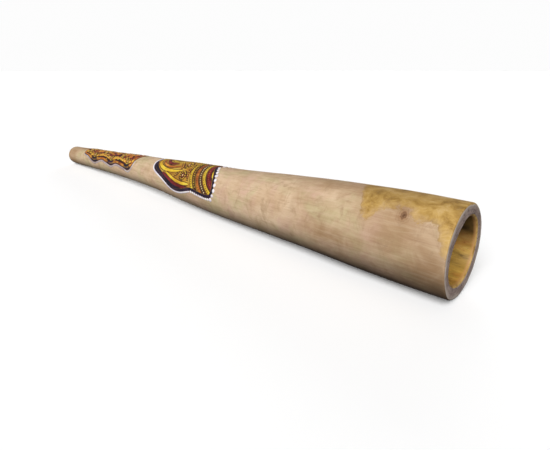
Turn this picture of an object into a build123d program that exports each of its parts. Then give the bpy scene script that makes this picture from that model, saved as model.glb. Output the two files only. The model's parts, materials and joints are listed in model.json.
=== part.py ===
"""Painted didgeridoo lying on the ground: a split, hollowed and re-glued hardwood tube.

Frame: +X from the blowing end to the bell, +Z up, origin on the ground under mid-length.
Places on the trunk are given as a distance from the blowing end and an angle round the
trunk, measured down from its top line.
"""
from build123d import *
import math
import os

os.makedirs("parts", exist_ok=True)

# ---------------------------------------------------------------- driving dimensions (mm, degrees)
BODY_LENGTH = 1200
MOUTH_X = -599.4
MOUTH_AXIS_HEIGHT = 26.5
BELL_AXIS_HEIGHT = 67.4
AXIS_RISE_ANGLE = math.asin((BELL_AXIS_HEIGHT - MOUTH_AXIS_HEIGHT) / BODY_LENGTH)

# The trunk: distance from the blowing end, outer radius, bow of the grain above the straight axis.
TRUNK = [
    (0, 26.5, 0.0),
    (70, 27.2, 1.3),
    (170, 29.1, 3.1),
    (290, 31.0, 4.9),
    (400, 34.7, 5.7),
    (510, 38.8, 4.7),
    (620, 45.0, 2.1),
    (790, 52.6, 0.4),
    (960, 59.8, 2.2),
    (1100, 65.4, 1.5),
    (BODY_LENGTH, 66.0, 0.0),
]
# The radius hollowed out of the wood at the same distances.
WOOD_BORE = [18.5, 18.7, 19.2, 20.0, 21.5, 23.5, 26.5, 32.5, 39.5, 45.0, 47.4]

MOUTH_EDGE_ROUND = 5
BELL_OUTER_ROUND = 2
BELL_INNER_ROUND = 1.5

SEAM_ANGLE = 27
GLUE_THICKNESS = 0.4
BORE_COAT = 0.4
END_GRAIN_COAT = 0.5

WAX_BORE_RADIUS = 15
WAX_DEPTH = 30
WAX_LIP_RADIUS = 20.5
WAX_LIP_PROUD = 2.5
WAX_LIP_ROUND = 1

PAINT_COAT = 0.3
PAINT_LAYERS = 3
OUTLINE_WIDTH = 4
LARGE_BORDER = 9.3
SMALL_BORDER = 4
DOT_RADIUS = 3
SMALL_DOT_RADIUS = 2.6
DOT_SINK = 1.2
PAST_THE_WOOD = 20

# ---------------------------------------------------------------- planes and places on the trunk
AXIS_DIRECTION = Vector(math.cos(AXIS_RISE_ANGLE), 0, math.sin(AXIS_RISE_ANGLE))
MOUTH_CENTRE = Vector(MOUTH_X, 0, MOUTH_AXIS_HEIGHT)
UP = Vector(-math.sin(AXIS_RISE_ANGLE), 0, math.cos(AXIS_RISE_ANGLE))
ACROSS = Vector(0, 1, 0)
# Cross-sections: local x is down, local y is +Y, the normal runs to the bell.
section_plane = Plane(origin=MOUTH_CENTRE, x_dir=-UP, z_dir=AXIS_DIRECTION)
# Side elevations: local x is the distance along the trunk, local y is up.
side_plane = Plane(origin=MOUTH_CENTRE, x_dir=AXIS_DIRECTION, z_dir=(0, -1, 0))


def trunk_at(distance):
    """Outer radius and bow of the trunk at a distance from the blowing end."""
    for start, end in zip(TRUNK, TRUNK[1:]):
        if distance <= end[0]:
            break
    share = (distance - start[0]) / (end[0] - start[0])
    radius = start[1] + share * (end[1] - start[1])
    bow = start[2] + share * (end[2] - start[2])
    return radius, bow


def in_elevation(distance, angle):
    """A place on the trunk, as a point of the side elevation."""
    radius, bow = trunk_at(distance)
    return distance, bow + radius * math.cos(math.radians(angle))


def in_space(distance, angle, sink=0):
    """A place on the trunk, in space and a little under the surface; +Y has positive angles."""
    radius, bow = trunk_at(distance)
    across = (radius - sink) * math.sin(math.radians(angle))
    up = bow + (radius - sink) * math.cos(math.radians(angle))
    return MOUTH_CENTRE + AXIS_DIRECTION * distance + ACROSS * across + UP * up


def lofted_tube(sections):
    """A solid lofted through circles given as distance, radius and bow."""
    with BuildPart() as tube:
        for distance, radius, bow in sections:
            with BuildSketch(section_plane.offset(distance)):
                with Locations((-bow, 0)):
                    Circle(radius)
        loft()
    return tube.part


def trunk_form(growth):
    """The trunk's outer form, grown by a thickness of paint."""
    return lofted_tube([(distance, radius + growth, bow) for distance, radius, bow in TRUNK])


def bore_form(coat):
    """The bore's form inside a coat of that thickness, run past both ends of the wood."""
    sections = [
        (distance, radius - coat, bow) for (distance, _, bow), radius in zip(TRUNK, WOOD_BORE)
    ]
    before = (-PAST_THE_WOOD, WOOD_BORE[0] - coat, 0)
    after = (BODY_LENGTH + PAST_THE_WOOD, WOOD_BORE[-1] - coat, 0)
    return lofted_tube([before] + sections + [after])


def write(piece, name):
    """Label a finished piece and write it to its own STEP file."""
    piece.label = name
    export_step(piece, f"parts/{name}.step")


# ---------------------------------------------------------------- the wooden trunk
with BuildPart() as trunk:
    add(trunk_form(0))
    fillet(trunk.faces().sort_by(Axis.X)[0].edges(), radius=MOUTH_EDGE_ROUND)
    fillet(trunk.faces().sort_by(Axis.X)[-1].edges(), radius=BELL_OUTER_ROUND)
    add(bore_form(0), mode=Mode.SUBTRACT)
    bell_face = trunk.faces().filter_by(GeomType.PLANE).sort_by(Axis.X)[-1]
    fillet(bell_face.inner_wires()[0].edges(), radius=BELL_INNER_ROUND)

# The log was sawn lengthwise through its axis, hollowed, and glued together again.
seam_lean = math.radians(SEAM_ANGLE)
seam_plane = Plane(
    origin=MOUTH_CENTRE,
    x_dir=AXIS_DIRECTION,
    z_dir=ACROSS * math.cos(seam_lean) - UP * math.sin(seam_lean),
)

with BuildPart() as near_half:
    add(trunk.part)
    split(bisect_by=seam_plane.offset(-GLUE_THICKNESS / 2), keep=Keep.BOTTOM)
write(near_half.part, "near_half")

with BuildPart() as rear_half:
    add(trunk.part)
    split(bisect_by=seam_plane.offset(GLUE_THICKNESS / 2), keep=Keep.TOP)
write(rear_half.part, "rear_half")

with BuildPart() as glue_seams:
    add(trunk.part)
    split(bisect_by=seam_plane.offset(-GLUE_THICKNESS / 2), keep=Keep.TOP)
    split(bisect_by=seam_plane.offset(GLUE_THICKNESS / 2), keep=Keep.BOTTOM)
write(glue_seams.part, "glue_seams")


# ---------------------------------------------------------------- bore, bell end and mouthpiece
with BuildPart() as bore_sealer:
    add(bore_form(0))
    add(bore_form(BORE_COAT), mode=Mode.SUBTRACT)
    split(bisect_by=section_plane.offset(WAX_DEPTH), keep=Keep.TOP)
    split(bisect_by=section_plane.offset(BODY_LENGTH - BELL_INNER_ROUND), keep=Keep.BOTTOM)
write(bore_sealer.part, "bore_sealer")

with BuildPart() as bell_end_coat:
    with BuildSketch(section_plane.offset(BODY_LENGTH)):
        Circle(TRUNK[-1][1] - BELL_OUTER_ROUND)
        Circle(WOOD_BORE[-1] + BELL_INNER_ROUND, mode=Mode.SUBTRACT)
    extrude(amount=END_GRAIN_COAT)
write(bell_end_coat.part, "bell_end_coat")

with BuildPart() as wax_mouthpiece:
    add(bore_form(0))
    split(bisect_by=section_plane, keep=Keep.TOP)
    split(bisect_by=section_plane.offset(WAX_DEPTH), keep=Keep.BOTTOM)
    with BuildSketch(section_plane.offset(-WAX_LIP_PROUD)):
        Circle(WAX_LIP_RADIUS)
    extrude(amount=WAX_LIP_PROUD)
    with BuildSketch(section_plane.offset(-WAX_LIP_PROUD)):
        Circle(WAX_BORE_RADIUS)
    extrude(amount=WAX_LIP_PROUD + WAX_DEPTH, mode=Mode.SUBTRACT)
    lip_face = wax_mouthpiece.faces().filter_by(GeomType.PLANE).sort_by(Axis.X)[0]
    fillet(lip_face.edges(), radius=WAX_LIP_ROUND)
write(wax_mouthpiece.part, "wax_mouthpiece")


# ---------------------------------------------------------------- painted panels
coats = [trunk_form(PAINT_COAT * layer) for layer in range(PAINT_LAYERS + 1)]


def moved_out(points, amount):
    """The points of a line, each moved square to the line, to the right of its direction."""
    before = [points[0]] + points[:-1]
    after = points[1:] + [points[-1]]
    moved = []
    for (x, y), (x0, y0), (x1, y1) in zip(points, before, after):
        length = math.hypot(x1 - x0, y1 - y0)
        moved.append((x + amount * (y1 - y0) / length, y - amount * (x1 - x0) / length))
    return moved


def panel_shape(panel, growth=0):
    """A panel in side elevation, grown all round and closed far above the top of the trunk.

    A panel is its lower edge, from the top line round to its last corner, and its border
    from that corner back to the top line.
    """
    lower_edge, border = panel
    lower = moved_out([in_elevation(*place) for place in lower_edge], growth)
    upright = moved_out([in_elevation(*place) for place in border], growth)
    corner = (upright[0][0], lower[-1][1])
    lower[-1] = corner
    upright[0] = corner
    above = 2 * TRUNK[-1][1]
    with BuildSketch(side_plane) as shape:
        with BuildLine():
            Spline(lower)
            Spline(upright)
            Polyline(upright[-1], (upright[-1][0], above), (lower[0][0], above), lower[0])
        make_face()
    return shape


def paint_film(pattern, layer):
    """A coat of paint in the shape of a side-elevation pattern, the same on both sides."""
    with BuildPart() as film:
        extrude(to_extrude=pattern.sketch, amount=TRUNK[-1][1] + PAST_THE_WOOD, both=True)
        add(coats[layer + 1], mode=Mode.INTERSECT)
        add(coats[layer], mode=Mode.SUBTRACT)
    return film.part


def outline_film(panel, last_distance=BODY_LENGTH):
    """The painted line round a panel, as far along the trunk as a given distance."""
    with BuildSketch(side_plane) as line:
        add(panel_shape(panel, OUTLINE_WIDTH).sketch_local)
        add(panel_shape(panel).sketch_local, mode=Mode.SUBTRACT)
        with Locations((last_distance, 0)):
            Rectangle(BODY_LENGTH, BODY_LENGTH, align=(Align.MAX, Align.CENTER), mode=Mode.INTERSECT)
    return paint_film(line, 0)


def band_film(rings, inside):
    """Curved bands: rings, given as centre, radius and width, kept inside a shape."""
    whole_film = paint_film(inside, 2)
    with BuildPart() as bands:
        with BuildSketch(side_plane):
            for distance, height, radius, width in rings:
                with Locations((distance, height)):
                    Circle(radius + width / 2)
                    Circle(radius - width / 2, mode=Mode.SUBTRACT)
        extrude(amount=TRUNK[-1][1] + PAST_THE_WOOD, both=True)
        add(whole_film, mode=Mode.INTERSECT)
    return bands.part


def dot_row(start, end, count):
    """Evenly spaced places from one place on the trunk to another."""
    steps = [step / (count - 1) for step in range(count)]
    return [
        (start[0] + (end[0] - start[0]) * step, start[1] + (end[1] - start[1]) * step)
        for step in steps
    ]


def paint_dots(places, layer, radius):
    """Domes of thick paint on both sides of the trunk, standing on a coat."""
    centres = [
        in_space(distance, side * angle, DOT_SINK * radius / DOT_RADIUS)
        for distance, angle in places
        for side in (-1, 1)
    ]
    with BuildPart() as dots:
        with Locations(centres):
            Sphere(radius)
        add(coats[layer], mode=Mode.SUBTRACT)
    return dots.part


# The large panel saddles the top: a rounded nose, a belly, and a border towards the bell.
large_panel = (
    [(512, 8), (509, 32), (520, 56), (562, 78), (600, 100), (630, 101), (672, 89), (700, 95), (757, 100)],
    [(757, 100), (761, 70), (754, 34), (735, 8)],
)
large_rings = [
    (780, 62, 90, 8),
    (780, 62, 71, 8),
    (780, 62, 52, 8),
    (592, 94, 98, 7),
    (592, 94, 80, 7),
    (592, 94, 62, 7),
]
large_dots = (
    dot_row((682, 87.5), (741, 95.5), 7)
    + dot_row((754, 91), (757.5, 68), 3)
    + dot_row((756.5, 56), (731, 12), 5)
)
write(paint_film(panel_shape(large_panel), 0), "large_panel_base")
write(paint_film(panel_shape(large_panel, -LARGE_BORDER), 1), "large_panel_field")
write(band_film(large_rings, panel_shape(large_panel, -LARGE_BORDER)), "large_panel_bands")
write(outline_film(large_panel, last_distance=672), "large_panel_outline")
write(paint_dots(large_dots, 1, DOT_RADIUS), "large_panel_dots")

# The small panel saddles the top near the blowing end, with three points along each lower edge.
small_panel = (
    [
        (112, 10), (116, 48), (150, 62), (190, 89), (235, 69), (258, 74), (295, 87),
        (325, 73), (365, 80), (392, 89), (412, 70),
    ],
    [(412, 70), (419, 40), (432, 10)],
)
small_dots = dot_row((135, 22), (405, 22), 14) + dot_row((175, 48), (390, 48), 11)
write(paint_film(panel_shape(small_panel), 0), "small_panel_base")
write(paint_film(panel_shape(small_panel, -SMALL_BORDER), 1), "small_panel_field")
write(outline_film(small_panel), "small_panel_outline")
write(paint_dots(small_dots, 2, SMALL_DOT_RADIUS), "small_panel_dots")
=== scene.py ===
import json
import math
import random

import bmesh
import bpy
import numpy as np
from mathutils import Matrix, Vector
from mathutils.geometry import delaunay_2d_cdt


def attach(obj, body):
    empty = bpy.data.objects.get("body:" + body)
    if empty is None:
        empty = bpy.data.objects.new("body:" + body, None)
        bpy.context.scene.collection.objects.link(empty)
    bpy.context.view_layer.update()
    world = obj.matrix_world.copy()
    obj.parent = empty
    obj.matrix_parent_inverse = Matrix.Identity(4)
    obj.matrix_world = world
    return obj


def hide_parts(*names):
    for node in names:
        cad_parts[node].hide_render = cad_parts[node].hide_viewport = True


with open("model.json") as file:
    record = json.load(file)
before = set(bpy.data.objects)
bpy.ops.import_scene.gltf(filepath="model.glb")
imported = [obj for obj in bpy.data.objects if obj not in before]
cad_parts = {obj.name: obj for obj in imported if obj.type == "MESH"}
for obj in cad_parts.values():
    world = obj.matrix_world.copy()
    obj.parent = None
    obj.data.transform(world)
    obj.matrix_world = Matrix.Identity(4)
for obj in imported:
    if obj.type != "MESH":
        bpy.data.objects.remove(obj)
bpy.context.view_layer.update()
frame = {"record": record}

# ---------------- the trunk, in mm and radians
# A place on the trunk is a distance from the blowing end and an angle round it from the top
# line. The near side, which the camera sees, is at -Y and has negative angles. Tables give
# angles in degrees.
MM = 0.001
blowing_end = next(mount for mount in frame["record"]["mounts"]
                   if mount["name"] == "mouthpiece_bore")
AXIS = -np.array(blowing_end["axis"])
MOUNT_DEPTH = 14
MOUTH = np.array(blowing_end["pos_m"]) - AXIS * MOUNT_DEPTH * MM
ACROSS = np.array([0.0, 1.0, 0.0])
UP = np.cross(AXIS, ACROSS)
LENGTH = 1200

# Distance, outer radius, bow above the straight axis, radius of the hollow
TRUNK = np.array([
    (0, 26.5, 0.0, 18.5),
    (70, 27.2, 1.3, 18.7),
    (170, 29.1, 3.1, 19.2),
    (290, 31.0, 4.9, 20.0),
    (400, 34.7, 5.7, 21.5),
    (510, 38.8, 4.7, 23.5),
    (620, 45.0, 2.1, 26.5),
    (790, 52.6, 0.4, 32.5),
    (960, 59.8, 2.2, 39.5),
    (1100, 65.4, 1.5, 45.0),
    (LENGTH, 66.0, 0.0, 47.4),
])
SEAM_ANGLE = math.radians(27)
GLUE_HALF = 0.2
GLUE_BELOW, GLUE_SHORT = 0.12, 0.05
MOUTH_ROUND = 5
INNER_ROUND = 2.6
WAX_DEPTH = 30
WAX_BORE = 15
WAX_LIP = 20.5
WAX_PROUD = 2.5
BORE_COAT = 0.4
END_COAT = 0.5
# Distance, angle, half width and height of each knot
KNOTS = [(1136, -44.5, 4.6, 0.5), (905, 128, 8, 0.8), (430, 100, 5, 0.5), (690, -172, 7, 0.7)]


def natural_spline(xs, ys):
    """A natural cubic spline through the points, as a function of an array."""
    n = len(xs)
    step = np.diff(xs)
    slope = np.diff(ys) / step
    matrix, right = np.eye(n), np.zeros(n)
    for i in range(1, n - 1):
        matrix[i, i - 1:i + 2] = step[i - 1], 2 * (step[i - 1] + step[i]), step[i]
        right[i] = 6 * (slope[i] - slope[i - 1])
    bend = np.linalg.solve(matrix, right)

    def value(x):
        i = np.clip(np.searchsorted(xs, x) - 1, 0, n - 2)
        t, h = np.clip(x, xs[0], xs[-1]) - xs[i], step[i]
        cubic = (bend[i + 1] - bend[i]) / (6 * h) * t**3 + bend[i] / 2 * t**2
        return ys[i] + t * (slope[i] - h * (2 * bend[i] + bend[i + 1]) / 6) + cubic

    return value


outer_radius = natural_spline(TRUNK[:, 0], TRUNK[:, 1])
bow = natural_spline(TRUNK[:, 0], TRUNK[:, 2])
bore_radius = natural_spline(TRUNK[:, 0], TRUNK[:, 3])


def waves(seed, count, height, lengths, turns):
    """Random smooth waves over the trunk, in mm: a function of distance and angle."""
    rng = random.Random(seed)
    parts = [(math.tau / rng.uniform(*lengths), rng.randint(*turns), rng.uniform(0, math.tau))
             for _ in range(count)]

    def value(s, a):
        total = sum(np.cos(along * s + turn * a + phase) for along, turn, phase in parts)
        return total * height / math.sqrt(count)

    return value


swell = waves(3, 9, 0.24, (90, 420), (-4, 4))
facets = waves(6, 10, 0.07, (260, 700), (-17, 17))
ripple = waves(5, 12, 0.05, (22, 80), (-9, 9))
gouge = waves(8, 14, 0.22, (18, 60), (-12, 12))
rim_wear = waves(11, 10, 0.3, (900, 1000), (-14, 14))
end_chatter = waves(12, 12, 0.09, (900, 1000), (-40, 40))


def turn_between(a, degrees):
    """The turn from an angle in degrees to a, in radians from -pi to pi."""
    return (a - math.radians(degrees) + math.pi) % math.tau - math.pi


KNOT_LENGTHENED = 1.35
# Half widths of a knot's swelling and of its sunken heart, in its own, and the heart's depth
KNOT_SWELL, KNOT_HEART, HEART_DEPTH = 1.9, 0.6, 1.6


def knot_reach(s, a, knot):
    """Distance along the surface from a knot, in units of its half width."""
    distance, angle, size, _ = knot
    across = turn_between(a, angle) * outer_radius(s) / KNOT_LENGTHENED
    return np.hypot(s - distance, across) / size


def towards_bell(s, start=880):
    """From 0 at a distance from the blowing end to 1 at the bell, smoothly."""
    t = np.clip((s - start) / (LENGTH - start), 0, 1)
    return t * t * (3 - 2 * t)


# How far the bell is taller than wide, leans and is smaller than the taper's circle, in mm
BELL_TALL, BELL_LEAN, BELL_LESS = 0.9, 2.4, 0.9
# Angle in degrees, height in mm and half width in radians of the fuller corner low on the
# bell's near side
BELL_CORNER, CORNER_HEIGHT, CORNER_WIDTH = -142, 2.6, 0.32
HOLLOW_LESS = 0.6


def surface_radius(s, a):
    """The outer radius with its swells, planing facets, ripples, knots and uneven bell."""
    total = outer_radius(s) + swell(s, a) + facets(s, a) + ripple(s, a)
    uneven = BELL_TALL * np.cos(2 * a) - BELL_LEAN * np.sin(2 * a) - BELL_LESS
    total = total + towards_bell(s) * uneven
    corner = np.exp(-(turn_between(a, BELL_CORNER) / CORNER_WIDTH) ** 2)
    total = total + towards_bell(s) * CORNER_HEIGHT * corner
    for knot in KNOTS:
        reach = knot_reach(s, a, knot)
        heart = HEART_DEPTH * np.exp(-(reach / KNOT_HEART) ** 2)
        total = total + knot[3] * (np.exp(-(reach / KNOT_SWELL) ** 2) - heart)
    return total


def hollow_radius(s, a):
    """The radius of the hollow, gouged all along and uneven at the bell."""
    uneven = 1.0 * np.sin(2 * a) - 0.4 * np.cos(2 * a) + 0.9 * np.sin(3 * a) + 0.6 * np.cos(3 * a)
    return bore_radius(s) + gouge(s, a) + towards_bell(s) * (uneven - HOLLOW_LESS)


def place(s, a, r):
    """Points in metres from distances, angles and radii of the same shape."""
    s, a, r = np.broadcast_arrays(s, a, r)
    up = (bow(s) + r * np.cos(a))[..., None] * UP
    across = (r * np.sin(a))[..., None] * ACROSS
    return MOUTH + MM * (s[..., None] * AXIS + up + across)


# ---------------- mesh helpers
def in_scene(name, data):
    """A new object in the scene."""
    made = bpy.data.objects.new(name, data)
    bpy.context.scene.collection.objects.link(made)
    return made


def make_piece(name, points, faces, material, slot, node, attributes=None, sharp=50):
    """A closed smooth mesh piece that rides on the one body and stands for a CAD node."""
    mesh = bpy.data.meshes.new(name)
    mesh.from_pydata([tuple(p) for p in points], [], faces)
    work = bmesh.new()
    work.from_mesh(mesh)
    bmesh.ops.recalc_face_normals(work, faces=work.faces)
    work.to_mesh(mesh)
    work.free()
    mesh.shade_smooth()
    mesh.set_sharp_from_angle(angle=math.radians(sharp))
    for key, values in (attributes or {}).items():
        layer = mesh.attributes.new(key, "FLOAT", "POINT")
        layer.data.foreach_set("value", np.asarray(values, np.float32).ravel())
    mesh.materials.append(material)
    piece = in_scene(name, mesh)
    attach(piece, "root")
    if node:
        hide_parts(node)
    return piece


def grid_faces(rows, columns, wrap_rows=False, wrap_columns=False):
    """Quads of a grid of points numbered row by row."""
    faces = []
    for i in range(rows if wrap_rows else rows - 1):
        for j in range(columns if wrap_columns else columns - 1):
            ni, nj = (i + 1) % rows, (j + 1) % columns
            faces.append((i * columns + j, i * columns + nj, ni * columns + nj, ni * columns + j))
    return faces


def turned_ring(name, profile, columns, material, slot, node, attributes=None, sharp=50):
    """A ring closed both ways: profile gives rows of distance and radius at the angles."""
    a = np.linspace(0, math.tau, columns, endpoint=False)[None]
    s, r = profile(a)
    s, r = np.broadcast_arrays(s, r)
    points = place(s, a, r).reshape(-1, 3)
    values = {key: value(s, a) for key, value in (attributes or {}).items()}
    return make_piece(name, points, grid_faces(len(s), columns, True, True), material, slot,
                      node, values, sharp)


# ---------------- lines of paint
# Paint is drawn on the trunk laid flat: across is the distance, up is the arc length at one
# radius, the sheet's. A table gives a line as distances and degrees down the near side.
LINE_STEP = 1.5
FAR_SIDE = (1, -1)


def smooth_line(places, radius):
    """A Catmull-Rom line through places on the near side, laid flat."""
    points = np.array([(s, -math.radians(down) * radius) for s, down in places], float)
    padded = np.vstack([2 * points[0] - points[1], points, 2 * points[-1] - points[-2]])
    line = []
    for p0, p1, p2, p3 in zip(padded, padded[1:], padded[2:], padded[3:]):
        count = max(2, int(np.linalg.norm(p2 - p1) / LINE_STEP))
        for t in np.arange(count) / count:
            line.append(0.5 * (2 * p1 + (p2 - p0) * t + (2 * p0 - 5 * p1 + 4 * p2 - p3) * t**2
                               + (3 * p1 - p0 - 3 * p2 + p3) * t**3))
    line.append(points[-1])
    return np.array(line)


def over_the_top(line):
    """A line that starts on the top line of the near side, carried on down the far side."""
    return np.vstack([line[::-1], line[1:] * FAR_SIDE])


def bearing_of(bearings):
    """Unit steps along bearings in radians, laid flat."""
    return np.stack([np.cos(bearings), np.sin(bearings)], 1)


def arc_line(centre, radius, start, stop):
    """An arc laid flat, from one bearing to another in degrees."""
    count = max(6, int(abs(math.radians(stop - start)) * radius / LINE_STEP))
    return np.array(centre) + radius * bearing_of(np.radians(np.linspace(start, stop, count)))


def left_of(line, closed=False):
    """Unit normals of a line, to its left."""
    if closed:
        run = np.roll(line, -1, 0) - np.roll(line, 1, 0)
    else:
        run = np.gradient(line, axis=0)
    run = run / np.linalg.norm(run, axis=1)[:, None]
    return np.stack([-run[:, 1], run[:, 0]], 1)


def anticlockwise(loop):
    """The closed loop, turned round if it runs clockwise."""
    x, y = loop.T
    return loop if (x * np.roll(y, -1) - y * np.roll(x, -1)).sum() > 0 else loop[::-1]


def gaps(points, loop):
    """Distance of each point from a closed loop's segments."""
    start, run = loop, np.roll(loop, -1, 0) - loop
    length = (run**2).sum(1) + 1e-12
    nearest = np.full(len(points), 1e9)
    for first in range(0, len(points), 2000):
        off = points[first:first + 2000, None] - start[None]
        t = np.clip((off * run).sum(2) / length, 0, 1)
        nearest[first:first + 2000] = np.linalg.norm(off - t[..., None] * run, axis=2).min(1)
    return nearest


def inset(loop, depth):
    """The loop moved inwards, without the points that fold over in its corners."""
    loop = anticlockwise(loop)
    moved = loop + left_of(loop, True) * depth
    return moved[gaps(moved, loop) > 0.97 * abs(depth)]


def stroke(line, width, seed, ends):
    """The outline of a brush stroke along a line, uneven, and narrowed to a share at its ends."""
    rng = random.Random(seed)
    t = np.linspace(0, 1, len(line))
    wobble = 1 + 0.07 * np.sin(t * rng.uniform(14, 22) + rng.uniform(0, 6))
    half = width / 2 * wobble * (1 - (1 - ends) * np.abs(2 * t - 1) ** 5)
    side = left_of(line) * half[:, None]
    return np.vstack([line + side, (line - side)[::-1]])


def blob(centre, across, up, seed):
    """A roundish patch of paint with an uneven edge."""
    rng = random.Random(seed)
    bearings = np.linspace(0, math.tau, 40, endpoint=False)
    uneven = 1 + sum(0.05 * np.cos(k * bearings + rng.uniform(0, 6)) for k in (2, 3, 5))
    return np.array(centre) + bearing_of(bearings) * (across, up) * uneven[:, None]


def mirrored(shapes):
    """The shapes and their mirror images on the far side."""
    return list(shapes) + [shape * FAR_SIDE for shape in shapes]


def mirrored_bands(bands):
    """The same for lines that have a width and a paint."""
    return bands + [(line * FAR_SIDE, width, paint) for line, width, paint in bands]


def cut_sheet(outline, clip, edge, step):
    """Triangles of the area inside an outline, and inside clip too if there is one.

    Returns the flat points, the triangles and each point's distance from the area's edge.
    """
    loops = [anticlockwise(loop) for loop in (outline, clip) if loop is not None]
    low, high = outline.min(0), outline.max(0)
    grid = np.stack(np.meshgrid(np.arange(low[0], high[0], step), np.arange(low[1], high[1], step)),
                    2).reshape(-1, 2)
    extra = np.vstack([grid] + [loop + left_of(loop, True) * edge for loop in loops])
    away = np.min([gaps(extra, loop) for loop in loops], axis=0)
    extra = extra[away > 0.8 * edge]
    starts = np.cumsum([0] + [len(loop) for loop in loops])
    rings = [list(range(first, last)) for first, last in zip(starts, starts[1:])]
    made = delaunay_2d_cdt([Vector(p) for p in np.vstack(loops + [extra])], [], rings, 1, 1e-4)
    triangles = [tri for tri, owners in zip(made[2], made[5]) if len(set(owners)) == len(loops)]
    used = sorted({v for tri in triangles for v in tri})
    number = {v: k for k, v in enumerate(used)}
    flat = np.array([tuple(made[0][v]) for v in used]).reshape(-1, 2)
    triangles = [tuple(number[v] for v in tri) for tri in triangles]
    away = np.min([gaps(flat, loop) for loop in loops], axis=0)
    return flat, triangles, away


SHEET_STEP = 2.6
EDGE_HEIGHT = 0.06
HAIR, HAIR_TURNS = 0.003, 30


def film(name, outlines, radius, heights, material, slot, node=None, clip=None, edge=0.9):
    """Paint laid inside closed outlines: flat topped, with rounded edges.

    heights are how far its underside and its top stand above the wood, in mm. Each outline
    lies a hair above the one before it, so that no two share a face.
    """
    points, faces = [], []
    for k, outline in enumerate(outlines):
        low, high = np.array(heights) + HAIR * (k % HAIR_TURNS)
        flat, triangles, away = cut_sheet(outline, clip, edge, SHEET_STEP)
        if not triangles:
            continue
        rise = np.clip(away / edge, 0, 1)
        top = low + EDGE_HEIGHT + (high - low - EDGE_HEIGHT) * rise * (2 - rise)
        s, a = flat[:, 0], flat[:, 1] / radius
        r = surface_radius(s, a)
        base, count = len(points), len(flat)
        points.extend(place(s, a, r + top))
        points.extend(place(s, a, r + low))
        edges = {(u, v) for tri in triangles for u, v in zip(tri, tri[1:] + tri[:1])}
        for tri in triangles:
            faces.append(tuple(base + v for v in tri))
            faces.append(tuple(base + count + v for v in reversed(tri)))
        for u, v in sorted(edges):
            if (v, u) not in edges:
                faces.append((base + v, base + u, base + count + u, base + count + v))
    return make_piece(name, points, faces, material, slot, node, sharp=60)


DOME = 0.4
DOT_SINK = 0.15
DOT_RINGS, DOT_SIDES = 4, 12


def dome(wide, squash, turn):
    """One dot's points: its top, rings of points down to the wood, and one below its middle."""
    spots = [(0.0, 0.0, DOME * wide)]
    for lean in math.pi / 2 * np.arange(1, DOT_RINGS + 1) / DOT_RINGS:
        for bearing in turn + math.tau * np.arange(DOT_SIDES) / DOT_SIDES:
            reach = wide * math.sin(lean)
            spots.append((reach * math.cos(bearing) * squash, reach * math.sin(bearing) / squash,
                          DOME * wide * math.cos(lean)))
    return np.array(spots + [(0.0, 0.0, -DOT_SINK)])


def dome_faces():
    """The faces of one dot: a fan, rings of quads and a fan underneath."""
    faces, around = [], DOT_SIDES
    last = 1 + DOT_RINGS * around
    for j in range(around):
        nj = (j + 1) % around
        faces.append((0, 1 + j, 1 + nj))
        for row in range(1, last - around, around):
            faces.append((row + j, row + around + j, row + around + nj, row + nj))
        faces.append((last - around + j, last, last - around + nj))
    return faces


def dots(name, places, radius, size, stand, material, slot, node=None, seed=2):
    """Domes of thick paint, each a little uneven. size is a dot's radius in mm."""
    rng = random.Random(seed)
    points, faces, one = [], [], dome_faces()
    for s0, v0 in places:
        wide = size * rng.uniform(0.88, 1.12)
        spots = dome(wide, rng.uniform(0.9, 1.1), rng.uniform(0, math.tau))
        s, a = s0 + spots[:, 0], (v0 + spots[:, 1]) / radius
        faces += [tuple(len(points) + v for v in face) for face in one]
        points.extend(place(s, a, surface_radius(s, a) + stand + spots[:, 2]))
    return make_piece(name, points, faces, material, slot, node, sharp=70)


def along(line, spacing):
    """Evenly spaced places along a line."""
    run = np.concatenate([[0], np.cumsum(np.linalg.norm(np.diff(line, axis=0), axis=1))])
    at = np.linspace(0, run[-1], max(2, int(round(run[-1] / spacing)) + 1))
    return np.stack([np.interp(at, run, line[:, 0]), np.interp(at, run, line[:, 1])], 1)


def ring_of(centre, radius, count):
    """Evenly spaced places round a centre."""
    return np.array(centre) + radius * bearing_of(np.arange(count) * math.tau / count)


# ---------------- materials
FULL_LIGHT = 1.3


def seen(r, g, b):
    """The linear colour of a surface that looks like these 8-bit values in the full light."""
    channels = [c / 255 for c in (r, g, b)]
    return tuple((((c + 0.055) / 1.055) ** 2.4 if c > 0.04 else c / 12.92) / FULL_LIGHT
                 for c in channels)


def new_material(name):
    """A new material, its node tree and its shader."""
    material = bpy.data.materials.new(name)
    material.use_nodes = True
    tree = material.node_tree
    return material, tree, tree.nodes["Principled BSDF"]


def set_or_link(tree, socket, value):
    if isinstance(value, bpy.types.NodeSocket):
        tree.links.new(value, socket)
    else:
        socket.default_value = value


def add_node(tree, kind, **inputs):
    """A new node with its named inputs set or linked."""
    made = tree.nodes.new("ShaderNode" + kind)
    for name, value in inputs.items():
        set_or_link(tree, made.inputs[name], value)
    return made


def object_space(tree, stretch, offset):
    """Places in object space, in metres, stretched and moved."""
    where = add_node(tree, "TexCoord").outputs["Object"]
    mapping = add_node(tree, "Mapping", Vector=where, Scale=stretch, Location=offset)
    return mapping.outputs["Vector"]


def noise(tree, scale, stretch, detail, rough, distort=0.0, offset=(0, 0, 0)):
    """Noise in object space, stretched along the axes."""
    where = object_space(tree, stretch, offset)
    return add_node(tree, "TexNoise", Vector=where, Scale=scale, Detail=detail, Roughness=rough,
                    Distortion=distort).outputs["Fac"]


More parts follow.
